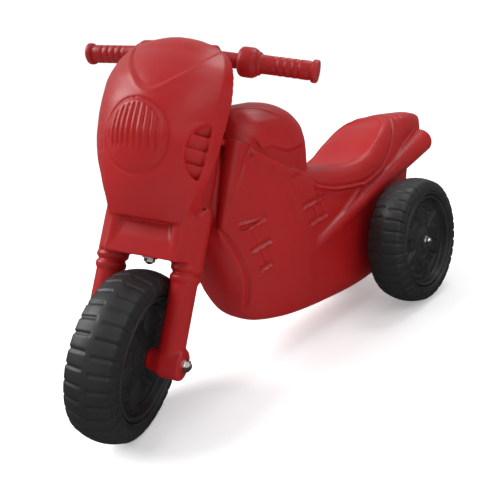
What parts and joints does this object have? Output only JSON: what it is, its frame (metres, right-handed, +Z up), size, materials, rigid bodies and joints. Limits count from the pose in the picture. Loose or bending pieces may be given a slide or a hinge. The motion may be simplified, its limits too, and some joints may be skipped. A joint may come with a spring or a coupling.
{
  "type": "ride-on toy motorcycle",
  "caption": "Child's foot-to-floor ride-on motorcycle: hollow moulded body with saddle, steered fork with headlamp fairing and handlebar, black plastic wheels on steel axles.",
  "frame": {"origin": "on the ground, straight below the centre of the front axle, in the middle plane of the body", "axes": "+Z up, +Y towards the rear of the toy, so that it drives towards -Y, and +X to the rider's left; the front end rests turned 32.5 degrees to the rider's left about the raked steering axis"},
  "size_m": [0.3217, 0.7977, 0.5138],
  "materials": {
    "red_body_plastic": "glossy red blow-moulded polyethylene, faintly uneven",
    "red_fork_plastic": "glossy red blow-moulded polyethylene, faintly uneven",
    "red_bar_plastic": "red moulded plastic, satin from handling on the grips",
    "black_wheel_plastic": "black moulded plastic with a soft sheen",
    "black_nylon": "dull black nylon",
    "zinc_steel": "bright zinc plating"
  },
  "bodies": {
    "chassis": {"body_shell": "red_body_plastic", "head_lower_bush": "black_nylon", "head_upper_bush": "black_nylon", "rear_axle": "zinc_steel", "rear_left_spacer": "black_nylon", "rear_right_spacer": "black_nylon", "rear_left_washer": "zinc_steel", "rear_right_washer": "zinc_steel", "rear_left_cap_nut": "zinc_steel", "rear_right_cap_nut": "zinc_steel"},
    "front_end": {"fork_fairing": "red_fork_plastic", "handlebar": "red_bar_plastic", "handlebar_left_screw": "zinc_steel", "handlebar_right_screw": "zinc_steel", "steering_bolt": "zinc_steel", "steering_upper_washer": "zinc_steel", "steering_lower_washer": "zinc_steel", "steering_nut": "zinc_steel", "front_axle": "zinc_steel", "front_left_washer": "zinc_steel", "front_right_washer": "zinc_steel", "front_left_cap_nut": "zinc_steel", "front_right_cap_nut": "zinc_steel"},
    "front_road_wheel": {"front_wheel": "black_wheel_plastic", "front_left_hub_bush": "black_nylon", "front_right_hub_bush": "black_nylon"},
    "rear_left_road_wheel": {"rear_left_wheel": "black_wheel_plastic", "rear_left_left_hub_bush": "black_nylon", "rear_left_right_hub_bush": "black_nylon"},
    "rear_right_road_wheel": {"rear_right_wheel": "black_wheel_plastic", "rear_right_left_hub_bush": "black_nylon", "rear_right_right_hub_bush": "black_nylon"}
  },
  "joints": [
    {"name": "steering", "type": "hinge", "parent": "chassis", "child": "front_end", "pos_m": [0, 0, 0.10844], "axis": [0, 0.4617, 0.887], "range_deg": [-70.5, 5.5]},
    {"name": "front_wheel_spin", "type": "hinge", "parent": "front_end", "child": "front_road_wheel", "pos_m": [0, 0, 0.10844], "axis": [0.8434, 0.4766, -0.2481], "continuous": true},
    {"name": "rear_left_wheel_spin", "type": "hinge", "parent": "chassis", "child": "rear_left_road_wheel", "pos_m": [0.119, 0.515, 0.11], "axis": [1, 0, 0], "continuous": true},
    {"name": "rear_right_wheel_spin", "type": "hinge", "parent": "chassis", "child": "rear_right_road_wheel", "pos_m": [-0.119, 0.515, 0.11], "axis": [1, 0, 0], "continuous": true}
  ]
}
